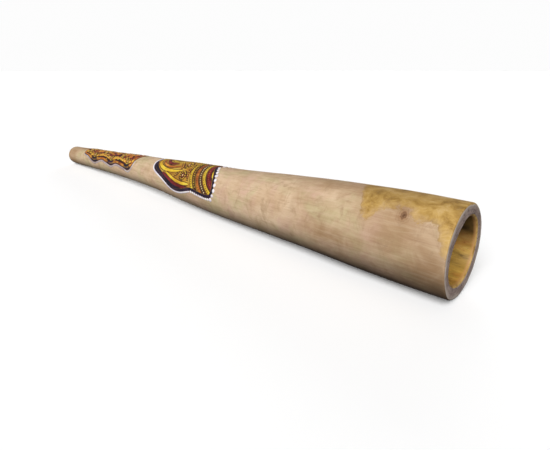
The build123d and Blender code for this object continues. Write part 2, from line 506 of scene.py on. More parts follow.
def ramp(factor, *stops):
    """A colour ramp; each stop is a position and a colour or a grey value."""
    made = add_node(factor.id_data, "ValToRGB", Fac=factor)
    elements = made.color_ramp.elements
    while len(elements) < len(stops):
        elements.new(0.5)
    for element, (position, value) in zip(elements, stops):
        element.position = position
        element.color = (*(seen(*value) if isinstance(value, tuple) else (value,) * 3), 1)
    return made.outputs["Color"]


def mix(factor, first, second):
    """A colour socket mixed by a factor towards a second colour or colour socket."""
    tree = factor.id_data
    made = add_node(tree, "Mix")
    made.data_type = "RGBA"
    tree.links.new(factor, made.inputs[0])
    tree.links.new(first, made.inputs[6])
    set_or_link(tree, made.inputs[7], (*seen(*second), 1) if isinstance(second, tuple) else second)
    return made.outputs[2]


def tint(colour, *layers):
    """A colour turned towards others, each given with the field that it follows.

    A layer is the field, its values where the colour starts and is full, how full, and the colour.
    """
    for field, start, full, amount, second in layers:
        colour = mix(ramp(field, (start, 0.0), (full, amount)), colour, second)
    return colour


def maths(operation, *values):
    tree = next(value.id_data for value in values if isinstance(value, bpy.types.NodeSocket))
    made = add_node(tree, "Math")
    made.operation = operation
    for socket, value in zip(made.inputs, values):
        set_or_link(tree, socket, value)
    return made.outputs[0]


def wander(value, by, amount):
    """A value pushed up and down by noise."""
    return maths("ADD", value, maths("MULTIPLY", maths("SUBTRACT", by, 0.5), amount))


def bump(height, distance, strength, **under):
    """A normal bumped by a height, on top of another Normal if one is named."""
    return add_node(height.id_data, "Bump", Height=height, Distance=distance, Strength=strength,
                    **under).outputs["Normal"]


def attribute(tree, name):
    made = add_node(tree, "Attribute")
    made.attribute_name = name
    return made.outputs["Fac"]


def surface(shader, colour, rough, normal, more=()):
    """Set a shader's colour, roughness, normal and more inputs by name."""
    inputs = {"Base Color": colour, "Roughness": rough, "Normal": normal, **dict(more)}
    for name, value in inputs.items():
        set_or_link(shader.id_data, shader.inputs[name], value)


def bare_wood(tree, aged):
    """The colour of the bare hardwood with painted shade on its underside, and the noise of its
    green clouds, streaks and pores.
    """
    clouds = noise(tree, 17, (0.8, 1, 1), 6, 0.62, 0.5)
    pink = noise(tree, 21, (0.9, 1, 1), 5, 0.6, 0.4, (3, 1, 2))
    green = noise(tree, 19, (0.9, 1, 1), 5, 0.6, 0.5, (7, 4, 1))
    smudges = noise(tree, 44, (1.2, 1, 0.8), 6, 0.65, 1.0, (4, 2, 6))
    streaks = noise(tree, 90, (0.08, 1, 1), 4, 0.6, 0.4, (1, 2, 3))
    grain = noise(tree, 240, (0.09, 1, 1), 4, 0.65, 0.2, (8, 5, 2))
    pores = noise(tree, 480, (0.035, 1, 1), 3, 0.7)
    # Painted shade: the wood darkens towards the underside, most near the bell, with a ragged edge
    belly_shade_noise = noise(tree, 28, (0.8, 1, 1), 5, 0.6, 0.5, (5, 5, 1))
    belly = wander(attribute(tree, "under"), belly_shade_noise, 0.4)
    colour = ramp(clouds, (0.28, (194, 160, 124)), (0.50, (217, 188, 155)),
                  (0.72, (228, 203, 172)))
    colour = tint(
        colour,
        (pink, 0.50, 0.66, 0.75, (214, 177, 156)),
        (green, 0.48, 0.64, 0.85, (200, 184, 142)),
        (aged, 0.1, 1.0, 0.9, (166, 132, 96)),
        (smudges, 0.52, 0.70, 0.7, (168, 138, 106)),
        (streaks, 0.48, 0.72, 0.22, (170, 136, 104)))
    colour = mix(ramp(grain, (0.36, 0.14), (0.50, 0.0)), colour, (236, 212, 182))
    colour = tint(
        colour,
        (grain, 0.52, 0.70, 0.32, (158, 124, 92)),
        (pores, 0.58, 0.72, 0.28, (132, 100, 74)),
        # painted shade on the underside
        (belly, 0.05, 0.90, 1.0, (72, 52, 34)))
    return colour, green, streaks, pores


def spilt_varnish(tree, colour, aged, green):
    """The colour under the spilt varnish and its tide mark, and how soaked the wood is."""
    fray = noise(tree, 70, (0.8, 1, 1), 7, 0.72, 0.3, (9, 2, 4))
    edge = wander(attribute(tree, "stain"), fray, 1.7)
    soaked = ramp(edge, (0.36, 0.0), (0.50, 0.62), (0.95, 1.0))
    blotches = noise(tree, 48, (0.9, 1, 1), 7, 0.68, 0.4, (6, 6, 1))
    varnish = ramp(blotches, (0.32, (136, 104, 50)), (0.43, (176, 138, 72)),
                   (0.54, (204, 166, 96)), (0.68, (222, 188, 130)))
    varnish = tint(varnish, (aged, 0.3, 1.0, 0.35, (138, 106, 54)))
    colour = mix(soaked, colour, varnish)
    tide = ramp(edge, (0.36, 0.0), (0.46, 0.55), (0.62, 0.0))
    tide = maths("MULTIPLY", tide, ramp(green, (0.42, 0.0), (0.58, 1.0)))
    return mix(tide, colour, (140, 106, 58)), soaked


def knotted(tree, colour):
    """The colour with the knots' halos, growth lines and dark hearts."""
    ragged = noise(tree, 260, (1, 1, 1), 3, 0.6)
    knot = wander(attribute(tree, "knot"), ragged, 1.2)
    halo = ramp(maths("DIVIDE", knot, 4.0), (0.20, 0.7), (0.34, 0.3), (0.70, 0.0))
    colour = mix(halo, colour, (150, 108, 74))
    lines = maths("SINE", maths("MULTIPLY", knot, 10.0))
    lines = maths("MULTIPLY", ramp(lines, (0.2, 0.0), (0.9, 0.8)), halo)
    colour = mix(lines, colour, (104, 70, 46))
    return mix(ramp(knot, (0.3, 0.85), (0.9, 0.0)), colour, (96, 64, 42))


def wood_material():
    """Pale satin hardwood: clouds, handling marks, fine grain, spilt varnish, knots and painted
    shade on the underside.
    """
    material, tree, shader = new_material("pale_hardwood")
    ageing = noise(tree, 32, (1, 1, 0.8), 6, 0.65, 0.7, (2, 8, 3))
    aged = wander(attribute(tree, "aged"), ageing, 1.3)
    colour, green, streaks, pores = bare_wood(tree, aged)
    colour, soaked = spilt_varnish(tree, colour, aged, green)
    satin = maths("SUBTRACT", 0.58, maths("MULTIPLY", soaked, 0.08))
    fine = bump(pores, 0.0002, 0.5)
    surface(shader, knotted(tree, colour), wander(satin, pores, 0.3),
            bump(streaks, 0.0004, 0.4, Normal=fine), {"Specular IOR Level": 0.18})
    return material


def paint_material(name, dark, mid, light, scale=60, rough=0.42):
    """Hand-brushed acrylic: three tones blended by brush marks."""
    material, tree, shader = new_material(name)
    marks = noise(tree, scale, (0.7, 1, 1), 5, 0.62, 0.6)
    fine = noise(tree, 420, (0.5, 1, 1), 3, 0.6)
    brush = bump(marks, 0.0004, 0.35)
    surface(shader, ramp(marks, (0.32, dark), (0.50, mid), (0.68, light)),
            wander(rough, fine, 0.25), bump(fine, 0.0002, 0.5, Normal=brush),
            {"Specular IOR Level": 0.5})
    return material


def bore_material():
    """Yellow-orange varnish lining the hollow, with painted shadow over its upper part and painted
    shade deeper inside.
    """
    material, tree, shader = new_material("bore_varnish")
    runs = noise(tree, 46, (0.35, 1, 1), 6, 0.65, 0.5)
    red = noise(tree, 34, (0.5, 1, 1), 5, 0.65, 0.5, (6, 2, 8))
    uneven = noise(tree, 30, (0.6, 1, 1), 5, 0.6, 0.4, (3, 3, 3))
    specks = noise(tree, 240, (0.5, 1, 1), 3, 0.6)
    # Painted shadow over the hollow's upper part and painted shade deeper inside, with a ragged
    # edge; dark is their colour
    bore_shade = wander(attribute(tree, "bore_shade"), uneven, 0.5)
    dark = ramp(runs, (0.34, (22, 15, 9)), (0.62, (72, 50, 28)))
    colour = ramp(runs, (0.32, (118, 92, 40)), (0.44, (174, 136, 60)),
                  (0.56, (206, 164, 76)), (0.70, (230, 196, 112)))
    colour = tint(
        colour,
        (red, 0.52, 0.66, 0.5, (190, 106, 48)),
        # painted shadow and shade in the hollow
        (bore_shade, 0.05, 0.85, 1.0, dark),
        (specks, 0.60, 0.74, 0.6, (92, 56, 24)),
        (attribute(tree, "lip"), 0.3, 0.9, 0.8, (206, 154, 96)))
    surface(shader, colour, wander(0.40, runs, 0.3), bump(specks, 0.0004, 0.5),
            {"Coat Weight": 0.2, "Coat Roughness": 0.25})
    return material


def growth_rings(tree):
    """Rings round the trunk's off-centre heart."""
    heart = object_space(tree, (1, 1, 1), (0, 0.012, -0.055))
    rings = add_node(tree, "TexWave", Vector=heart, Scale=60, Distortion=3.5, Detail=3)
    rings.wave_type, rings.rings_direction = "RINGS", "X"
    return rings.outputs["Fac"]


def end_grain_material():
    """Matt grey-mauve sealed end grain with dark specks, growth rings and a paler rim."""
    material, tree, shader = new_material("sealed_end_grain")
    patches = noise(tree, 36, (1, 1, 1), 5, 0.6, 0.3)
    specks = noise(tree, 300, (1, 1, 1), 3, 0.7)
    rim = wander(attribute(tree, "rim"), patches, 0.8)
    colour = ramp(patches, (0.32, (138, 118, 111)), (0.50, (174, 152, 142)),
                  (0.70, (202, 182, 166)))
    colour = tint(
        colour,
        (growth_rings(tree), 0.5, 0.9, 0.3, (104, 88, 82)),
        (specks, 0.56, 0.66, 0.85, (66, 54, 54)),
        (rim, 0.55, 0.95, 0.8, (196, 182, 170)))
    surface(shader, colour, 0.85, bump(specks, 0.0005, 0.7))
    return material


def blended_material(name, field, stops, rough, relief, more=()):
    """A material whose colour and relief follow one noise."""
    material, tree, shader = new_material(name)
    marks = noise(tree, *field)
    surface(shader, ramp(marks, *stops), rough, bump(marks, *relief), more)
    return material


wood = wood_material()
bore_varnish = bore_material()
end_grain = end_grain_material()
# Amber, with darker smears from the fingers
beeswax = blended_material("beeswax", (90, (1, 1, 1), 4, 0.6, 0.6),
                           [(0.3, (140, 96, 44)), (0.5, (186, 140, 72)), (0.72, (212, 172, 104))],
                           0.38, (0.0008, 0.4), {"Subsurface Weight": 0.15,
                                                 "Subsurface Radius": (0.004, 0.002, 0.001)})
glue = blended_material("wood_glue", (120, (0.2, 1, 1), 4, 0.6),
                        [(0.35, (92, 62, 38)), (0.65, (146, 108, 70))], 0.5, (0.0002, 0.4))
black = paint_material("blue_black_paint", (20, 14, 30), (36, 24, 44), (70, 40, 66), 40)
ochre = paint_material("yellow_ochre_paint", (118, 66, 26), (196, 144, 46), (204, 178, 84), 42)
yellow = paint_material("bright_yellow_paint", (196, 138, 34), (234, 196, 52), (246, 222, 92), 50)
orange = paint_material("orange_paint", (108, 46, 22), (190, 108, 38), (228, 158, 66), 46)
maroon = paint_material("maroon_paint", (78, 14, 18), (112, 26, 30), (146, 52, 52), 60)
umber = paint_material("dark_umber_paint", (34, 14, 12), (60, 26, 18), (92, 46, 28), 60)
white = paint_material("white_paint", (214, 202, 216), (240, 232, 238), (252, 250, 250), 60, 0.5)
lilac = paint_material("lilac_paint", (156, 138, 142), (184, 168, 170), (208, 196, 192), 50, 0.55)
cream = paint_material("cream_paint", (226, 186, 120), (240, 212, 150), (250, 232, 184), 80, 0.45)


# ---------------- the wooden halves
def seam_angles(s, r, towards):
    """Angles of a half's two seam faces at a radius; towards is -1 near, +1 rear."""
    lean = np.arcsin(np.clip((bow(s) * math.sin(SEAM_ANGLE) + towards * GLUE_HALF) / r, -1, 1))
    top, bottom = SEAM_ANGLE + lean, math.pi + SEAM_ANGLE - lean
    return (bottom - math.tau, top) if towards < 0 else (top, bottom)


RIM_ROUND, RIM_LEAST, RIM_MOST = 1.9, 1.0, 3.4
# Angle in degrees, depth in mm and half width in radians of each chip in the bell's rim
RIM_CHIPS = [(-88, 1.3, 0.05), (6, 1.5, 0.06)]


def rim_round(a):
    """The uneven round worn on the bell's outer edge, with its chips."""
    chips = sum(depth * np.exp(-(turn_between(a, angle) / width) ** 2)
                for angle, depth, width in RIM_CHIPS)
    return np.clip(RIM_ROUND + rim_wear(0, a) + chips, RIM_LEAST, RIM_MOST)


# Distances of the rows between the two ends' rounded edges
STATIONS = np.concatenate([[MOUTH_ROUND, 8, 11, 14], np.linspace(17, LENGTH - 14, 400),
                           LENGTH - np.array([11, 8, 5.5, 4])])[:, None]
# Rows on the round between the bell's face and the hollow
LIP_ROWS = 4


def wall_profile(a):
    """Rows of distance and radius round the section of the wall: outside, bell, hollow, mouth.

    Also gives the row where the outside starts and the row where the hollow starts.
    """
    turns = np.radians(np.arange(0, 91, 15))[:, None]
    inner_turns = np.radians(np.linspace(0, 90, LIP_ROWS))[:, None]
    wear = rim_round(a)
    edge_s = LENGTH - wear + wear * np.sin(turns)
    edge_r = surface_radius(edge_s, a) - wear + wear * np.cos(turns)
    mouth_s = MOUTH_ROUND - MOUTH_ROUND * np.cos(turns)
    mouth_r = surface_radius(mouth_s, a) - MOUTH_ROUND + MOUTH_ROUND * np.sin(turns)
    face_low = hollow_radius(LENGTH, a) + INNER_ROUND
    face_r = edge_r[-1:] + (face_low - edge_r[-1:]) * np.linspace(0, 1, 9)[1:-1, None]
    inner_s = LENGTH - INNER_ROUND + INNER_ROUND * np.cos(inner_turns)
    inner_r = face_low - INNER_ROUND * np.sin(inner_turns)
    low = hollow_radius(0, a)
    end_r = low + (mouth_r[:1] - low) * np.linspace(0, 1, 5)[:-1, None]
    blocks = [
        (mouth_s[:-1], mouth_r[:-1]),
        (STATIONS, surface_radius(STATIONS, a)),
        (edge_s, edge_r),
        (float(LENGTH), face_r),
        (inner_s, inner_r),
        (STATIONS[::-1], hollow_radius(STATIONS[::-1], a)),
        (0.0, end_r),
    ]
    rows = [np.broadcast_arrays(s + 0 * a, r + 0 * a) for s, r in blocks]
    s, r = np.vstack([row[0] for row in rows]), np.vstack([row[1] for row in rows])
    counts = [len(row[0]) for row in rows]
    return s, r, counts[0], sum(counts[:5])


HALF_COLUMNS = 84
NO_KNOT = 9.0


def shell_half(name, towards):
    """One half of the split log, from seam to seam."""
    columns = HALF_COLUMNS
    share = np.linspace(0, 1, columns)[None]
    guess = SEAM_ANGLE + math.pi * (share if towards > 0 else share - 1)
    s, r, first_outer, first_inner = wall_profile(guess)
    start, stop = seam_angles(s, r, towards)
    a = start + share * (stop - start)
    count, n = len(s), len(STATIONS)
    faces = grid_faces(count, columns, wrap_rows=True)
    for column in (0, columns - 1):
        index = [i * columns + column for i in range(count)]
        outer = index[first_outer:first_outer + n]
        inner = index[first_inner:first_inner + n][::-1]
        for k in range(n - 1):
            faces.append((outer[k], outer[k + 1], inner[k + 1], inner[k]))
        faces.append(tuple(index[first_outer + n - 1:first_inner + 1]))
        faces.append(tuple(index[first_inner + n - 1:] + index[:first_outer + 1]))
    outside = np.arange(count)[:, None] < first_inner
    skin = np.arange(count)[:, None] < first_inner - LIP_ROWS
    attributes = {
        "knot": np.where(outside, knot_field(s, a), NO_KNOT),
        "stain": np.where(outside, np.where(skin, stain_field(s, a), 1.0), 0.0),
        "aged": aged_field(s, a),
        # Painted shade on the underside, kept off the bell's lip and the hollow
        "under": np.where(skin, underside_shade_field(s, a), 0.0),
    }
    return make_piece(name, place(s, a, r).reshape(-1, 3), faces, wood, "wood", name, attributes)


def glue_strip(name, bottom, node):
    """The glue line in one seam, a little below the surface, from the outside to the hollow."""
    guess = np.full((1, 1), SEAM_ANGLE + (math.pi if bottom else 0.0))
    _, r, first_outer, first_inner = wall_profile(guess)
    s, count = STATIONS, len(STATIONS)
    high = r[first_outer:first_outer + count] - GLUE_BELOW
    low = r[first_inner:first_inner + count][::-1] + GLUE_SHORT
    corners = []
    for level, towards in ((high, -1), (high, 1), (low, 1), (low, -1)):
        first, last = seam_angles(s, level, towards)
        near = towards < 0
        a = (first if near else last) if bottom else (last if near else first)
        corners.append(place(s, a, level))
    points = np.stack(corners, 1).reshape(-1, 3)
    faces = grid_faces(count, 4, wrap_columns=True)
    faces += [tuple(range(4)), tuple(range(4 * count - 4, 4 * count))]
    return make_piece(name, points, faces, glue, "glue", node)


def down_angle(a):
    """Degrees down from the top line on either side."""
    return np.abs(np.degrees(turn_between(a, 0)))


# How far down the varnish has run, in degrees, at distances from the blowing end
NEAR_RUNS = np.array([(1040, -20), (1056, 6), (1068, 30), (1076, 52), (1086, 57), (1095, 52),
                      (1104, 40), (1126, 33), (1140, 36), (1150, 44), (1160, 48), (1172, 43),
                      (1182, 50), (1190, 64), (1196, 74)])
FAR_RUNS = np.array([(1040, -20), (1060, 10), (1085, 26), (1105, 18), (1128, 34), (1150, 28),
                     (1176, 40), (1190, 52), (1196, 60)])


STAIN_FADE = 24


def stain_field(s, a):
    """Spilt varnish: over the top near the bell, down its rim, ragged below. Edge at 0.5."""
    reach = np.where(np.sin(a) < 0, np.interp(s, *NEAR_RUNS.T), np.interp(s, *FAR_RUNS.T))
    return np.clip((reach - down_angle(a)) / STAIN_FADE + 0.5, 0, 1)


# Distance, angle in degrees, half length, half width and strength of each browner patch
BROWN_PATCHES = [
    (930, -6, 170, 16, 0.5), (1035, -92, 55, 18, 0.8), (1130, -62, 50, 30, 0.6),
    (1185, -106, 40, 26, 0.9), (965, -52, 26, 40, 0.3), (1090, -20, 60, 26, 0.35),
    (700, -104, 60, 20, 0.5), (14, 0, 48, 300, 0.5), (84, -8, 40, 9, 0.9),
    (560, 60, 120, 30, 0.6), (34, -50, 34, 12, 0.7), (24, -122, 60, 14, 0.9),
    (1130, -8, 90, 22, 0.7), (470, -60, 40, 12, 0.4), (820, 70, 90, 34, 0.6),
    (1050, 100, 120, 40, 0.8), (1160, 60, 60, 30, 0.7), (250, 110, 90, 20, 0.6),
    (640, 150, 90, 30, 0.4),
]


def aged_field(s, a):
    """Browner wood in soft patches and towards the bell."""
    total = 0.25 * towards_bell(s, 700)
    for distance, angle, long, wide, strength in BROWN_PATCHES:
        across = turn_between(a, angle) * outer_radius(s) / wide
        total = total + strength * np.exp(-((s - distance) / long) ** 2 - across**2)
    return np.clip(total, 0, 1)


def underside_shade_field(s, a):
    """Painted shade: darker wood towards the underside, most of all near the bell."""
    return np.clip((down_angle(a) - 94) / 48, 0, 1) * (0.4 + 0.6 * towards_bell(s, 400))


def knot_field(s, a):
    """Distance from the nearest knot, in units of its half width."""
    return np.min([knot_reach(s, a, knot) for knot in KNOTS], axis=0)


for half_name, half_side in (("near_half", -1), ("rear_half", 1)):
    shell_half(half_name, half_side)
glue_strip("glue_seam_top", False, "glue_seams")
glue_strip("glue_seam_bottom", True, None)


# ---------------- bore, bell face and mouthpiece
def bore_shade_field(s, a):
    """Painted shadow and shade in the hollow: little along the bottom near the bell, more above and
    deeper inside.
    """
    # Painted shadow over the upper part of the hollow, where its upper wall shades it
    high = np.clip((114 - down_angle(a)) / 46, 0, 1)
    # Painted shade deeper inside the hollow, away from the bell
    deep_shade = np.clip((LENGTH - 25 - s) / 130, 0, 1)
    return np.clip(high * (0.8 + 0.2 * deep_shade) + deep_shade * 0.6, 0, 1)


def bore_lining():
    """The varnish lining the hollow, from the wax to the bell."""
    middle = np.linspace(WAX_DEPTH + 3, LENGTH - 3, 260)
    s = np.concatenate([[WAX_DEPTH + 0.2], middle, [LENGTH - 1.7]])[:, None]

    def profile(a):
        outer, inner = hollow_radius(s, a) - 0.03, hollow_radius(s, a) - BORE_COAT
        return np.vstack([s, s[::-1]]), np.vstack([outer, inner[::-1]])

    # The hollow's painted shadow and shade ride on the lining as a vertex attribute
    turned_ring("bore_lining", profile, 120, bore_varnish, "bore_varnish", "bore_sealer",
                {"bore_shade": bore_shade_field, "lip": lambda s, a: np.clip((s - LENGTH + 6) / 4, 0, 1)})


def bell_face():
    """The sealed end of the bell, rough and a little uneven."""
    across = np.linspace(0, 1, 15)[:, None]

    def profile(a):
        wear = rim_round(a)
        low = hollow_radius(LENGTH, a) + INNER_ROUND - 0.6
        high = surface_radius(LENGTH, a) - wear * 0.8
        r = low + (high - low) * across
        taper = np.clip(np.minimum(across, 1 - across) / 0.07, 0, 1)
        proud = (END_COAT + 0.25) * taper + end_chatter(0, a) * taper
        top = LENGTH - 0.25 + proud + 0.1 * np.cos(7 * across * math.pi + 3 * a)
        bottom = LENGTH - 0.5 + 0 * r
        return np.vstack([top, bottom[::-1]]), np.vstack([r, r[::-1]])

    turned_ring("bell_end_face", profile, 300, end_grain, "end_grain", "bell_end_coat",
                {"rim": lambda s, a: np.tile(np.vstack([across, across[::-1]]), (1, a.shape[1]))})


def wax_ring():
    """The beeswax mouthpiece: lip, bore and the collar inside the wood, pressed by fingers."""
    turns = np.radians(np.arange(0, 181, 20))[:, None]
    depth = np.linspace(3, WAX_DEPTH, 12)[:, None]
    middle, half = (WAX_BORE + WAX_LIP) / 2, (WAX_LIP - WAX_BORE) / 2

    def profile(a):
        press = 0.35 * np.cos(5 * a + 1) + 0.25 * np.cos(9 * a) + 0.15 * np.cos(14 * a + 2)
        lip_s = -WAX_PROUD * np.sin(turns) * (1 + 0.12 * press)
        lip_r = middle + half * np.cos(turns) * (1 + 0.1 * press * (np.cos(turns) > 0))
        inner_s, inner_r = depth + 0 * a, WAX_BORE + 0.12 * np.cos(3 * a + depth / 4) + 0.12
        outer_s, outer_r = depth[::-1] + 0 * a, hollow_radius(depth[::-1], a) - 0.02
        root_r = hollow_radius(0.4, a) - 0.02
        s = np.vstack([lip_s, inner_s, outer_s, 0.4 + 0 * a])
        r = np.vstack([lip_r, inner_r, outer_r, root_r])
        return s, r

    turned_ring("wax_mouthpiece", profile, 120, beeswax, "beeswax", "wax_mouthpiece", sharp=70)


bore_lining()
bell_face()
wax_ring()


# ---------------- painted panels
def saddle(runs, radius):
    """A closed panel outline over the top line, from runs of places down its near side."""
    lines = [smooth_line(run, radius) for run in runs]
    near = np.vstack([line[:-1] for line in lines] + [lines[-1][-1:]])
    far = near[::-1] * FAR_SIDE
    return np.vstack([near, far[1:-1]])


def inside(points, loop, margin):
    """Which points are inside a closed loop, and not near its edge."""
    (x, y), (x0, y0), (x1, y1) = points.T[..., None], loop.T, np.roll(loop, -1, 0).T
    rise = np.where(y1 == y0, 1, y1 - y0)
    crossed = ((y0 > y) != (y1 > y)) & (x < x0 + (y - y0) * (x1 - x0) / rise)
    return (crossed.sum(axis=1) % 2 == 1) & (gaps(points, loop) > margin)


# How far each coat's underside and top stand above the wood, in mm
BASE_COAT = (-0.15, 0.30)
FIELD_COAT = (0.15, 0.50)
KEY_COAT = (0.42, 0.62)
BAND_COAT = (0.52, 0.85)
TOP_COAT = (0.70, 1.00)
EDGING_COAT = (-0.1, 0.65)
DOT_STAND = BAND_COAT[1] - 0.1
EDGE_DOT_STAND = 0.1
KEYLINE = 1.5
# Material and slot of each paint; a panel gives umber's slot
BAND_PAINTS = {
    "black": (black, "dark_paint"),
    "umber": (umber, None),
    "maroon": (maroon, "maroon_paint"),
    "orange": (orange, "ochre_paint"),
    "yellow": (yellow, "ochre_paint"),
}


def ground(prefix, panel, radius, border, dark_slot, paint, slot):
    """A panel's dark ground and the field inside its border. Gives the marks' clip outline."""
    film(prefix + "_base", [panel], radius, BASE_COAT, black, dark_slot, prefix + "_base")
    film(prefix + "_field", [inset(panel, border[0])], radius, FIELD_COAT, paint, slot,
         prefix + "_field")
    return inset(panel, border[1])


def laid_out(bands, radius):
    """A table of bands with each band's places made a line laid flat."""
    return [(smooth_line(places, radius), width, paint) for places, width, paint in bands]


def paint_bands(prefix, lines, radius, clip, dark_slot, nodes):
    """One piece of bands for each paint, and one of the dark keylines under them."""
    key = [stroke(line, width + 2 * KEYLINE, k, 0.5) for k, (line, width, _) in enumerate(lines)]
    film(prefix + "_keylines", key, radius, KEY_COAT, umber, dark_slot, clip=clip, edge=0.7)
    for paint, (material, slot) in BAND_PAINTS.items():
        shapes = [stroke(line, width, k, 0.4) for k, (line, width, name) in enumerate(lines)
                  if name == paint]
        if shapes:
            film(f"{prefix}_{paint}_bands", shapes, radius, BAND_COAT, material,
                 slot or dark_slot, nodes.get(paint), clip, 0.8)


# Radii of a rosette's heart, ring of dots, dots and middle dot, as shares of its own
HEART, DOT_RING, RING_DOT, HEART_DOT = 0.36, 0.7, 0.13, 0.15
RING_DOTS = 11


def rosettes(prefix, centres, size, radius, clip, slot, dot_slot):
    """Round motifs: a dark disc, a coloured heart, a ring of dots and a dot in the middle."""
    discs = [blob(c, size, size, k) for k, c in enumerate(centres)]
    hearts = [blob(c, size * HEART, size * HEART, k + 9) for k, c in enumerate(centres)]
    spots = np.vstack([ring_of(c, size * DOT_RING, RING_DOTS) for c in centres])
    film(prefix + "_rosette_discs", discs, radius, BAND_COAT, umber, slot, clip=clip, edge=0.8)
    film(prefix + "_rosette_hearts", hearts, radius, TOP_COAT, orange, slot, clip=clip, edge=0.7)
    dots(prefix + "_rosette_dots", spots, radius, size * RING_DOT, BAND_COAT[1], yellow, dot_slot)
    dots(prefix + "_heart_dots", centres, radius, size * HEART_DOT, TOP_COAT[1], cream, dot_slot)


def clear_of(points, centres):
    """Distance of each point from the nearest centre."""
    return np.linalg.norm(points[:, None] - np.array(centres)[None], axis=2).min(axis=1)


def on_both_sides(places, radius):
    """Flat points of places given as distances and degrees down, on both sides."""
    return [(s, -math.radians(down) * radius * side) for s, down in places for side in (1, -1)]


LARGE_RADIUS = 45
LARGE_PATH = [
    [(515, 0), (514, 8), (511, 32), (521, 56), (562, 78), (600, 100), (630, 101), (672, 88),
     (700, 91), (724, 93), (742, 91.5)],
    [(742, 91.5), (748, 84), (751.5, 73), (751, 60), (742, 35), (724, 8), (722, 0)],
]
# How far inside the outline the field starts, and the marks on it
LARGE_BORDER = (6.5, 7.2)
LARGE_CENTRE = (778, 6)
# Radius, width and paint of each arc on the right of the large panel
LARGE_ARCS = [
    (44, 8, "orange"), (55, 7, "yellow"), (66.5, 9.5, "maroon"), (78, 7, "yellow"),
    (88, 6, "umber"), (98, 7.5, "orange"), (108, 5, "umber"), (117.5, 7, "yellow"),
]
# Places, width and paint of each band along the lower left of the large panel
LARGE_SWEEPS = [
    ([(668, 72), (640, 74), (612, 70), (590, 62), (572, 55)], 6, "yellow"),
    ([(676, 83), (642, 84), (610, 80), (584, 70), (560, 59)], 6.5, "maroon"),
    ([(684, 92), (644, 96), (612, 95), (582, 81), (551, 67), (526, 46), (516, 26)], 15, "black"),
]
# Places, width and paint of each band looped over the panel's left end
LARGE_LOOPS = [
    ([(526, 0), (529, 22), (543, 38), (567, 47), (598, 47), (628, 41)], 8, "yellow"),
    ([(537.5, 0), (540, 14), (551, 27), (571, 34), (596, 33), (616, 28)], 5.5, "orange"),
    ([(547.5, 0), (551, 9), (560, 18), (578, 22.5), (599, 19)], 6.5, "maroon"),
    ([(562, 0), (567, 6), (580, 9), (597, 8)], 4, "yellow"),
]
# Dotted trails through the middle of the large panel
LARGE_TRAILS = [
    ([(606, 8), (622, 30), (618, 52), (606, 60)], 4.5, "maroon"),
    ([(650, 8), (656, 24), (655, 44), (662, 66)], 4.5, "maroon"),
]
# Rows of fine dots on the arcs: arc radius, paint and size
LARGE_DOTTED = [(66.5, orange, 1.2), (78, umber, 1.4), (88, cream, 1.4),
                (98, umber, 1.2), (108, yellow, 1.3), (117.5, umber, 1.4)]
LARGE_ROSETTES = [(634, 17), (640, 53)]
# Places, spacing, size and replaced node of the white dots below the panel and up its right side
LARGE_EDGE_DOTS = {
    "lower": ([(678, 88.5), (700, 92.3), (722, 94.6), (736, 94.2)], 6.4, 2.5, None),
    "side": ([(744, 93), (750, 83), (753, 72), (752.5, 60), (743.5, 35), (725.5, 8)], 9.2, 3.5,
             "large_panel_dots"),
}


def saddle_arc(size):
    """An arc of the large panel, from the near side over the top to the far side."""
    start = 180 + math.degrees(math.asin(LARGE_CENTRE[1] / size))
    return over_the_top(arc_line(LARGE_CENTRE, size, start, 288))


def large_panel_rows(radius, clip, trails):
    """Rows of fine dots along the large panel's trails and arcs."""
    spots = np.vstack(mirrored([along(line, 4.4) for line, _, _ in trails]))
    dots("large_panel_trail_dots", spots, radius, 1.3, DOT_STAND, yellow, "white_dots")
    for k, (size, material, wide) in enumerate(LARGE_DOTTED):
        spots = along(saddle_arc(size), 4.8)
        dots(f"large_panel_arc_dots_{k}", spots[inside(spots, clip, 1.5)], radius, wide,
             DOT_STAND, material, "white_dots", seed=k)


def large_panel_edging(radius):
    """The white line round the large panel's nose and belly, and the white dots at its edge."""
    left = smooth_line(LARGE_PATH[0][:8], radius)
    edging = over_the_top(left - left_of(left) * 1.2)
    film("large_panel_outline", [stroke(edging, 5.0, 5, 0.7)], radius, EDGING_COAT, white,
         "white_paint", "large_panel_outline", edge=1.0)
    for name, (places, spacing, size, node) in LARGE_EDGE_DOTS.items():
        spots = np.vstack(mirrored([along(smooth_line(places, radius), spacing)]))
        dots(f"large_panel_{name}_dots", spots, radius, size, EDGE_DOT_STAND, white, "white_dots",
             node)


def large_panel():
    """The panel in the middle: dark border, ochre field, bands, rosettes and white edging."""
    radius = LARGE_RADIUS
    clip = ground("large_panel", saddle(LARGE_PATH, radius), radius, LARGE_BORDER, "dark_paint",
                  ochre, "ochre_paint")
    near, trails = laid_out(LARGE_SWEEPS, radius), laid_out(LARGE_TRAILS, radius)
    lines = mirrored_bands(near + trails)
    lines += [(over_the_top(line), width, paint)
              for line, width, paint in laid_out(LARGE_LOOPS, radius)]
    lines += [(saddle_arc(size), width, paint) for size, width, paint in LARGE_ARCS]
    paint_bands("large_panel", lines, radius, clip, "dark_paint", {"maroon": "large_panel_bands"})
    rosettes("large_panel", on_both_sides(LARGE_ROSETTES, radius), 12, radius, clip,
             "ochre_paint", "white_dots")
    large_panel_rows(radius, clip, trails)
    large_panel_edging(radius)


SMALL_RADIUS = 31
SMALL_PATH = [
    [(114, 0), (112, 10), (116, 48), (150, 62), (190, 89), (235, 69), (258, 74), (295, 87),
     (325, 73), (365, 80), (392, 89), (412, 70), (419, 40), (432, 10), (434, 0)],
]
SMALL_BORDER = (2.2, 2.6)
SMALL_LOW_POINTS = [(190, 84), (295, 84), (391, 85)]
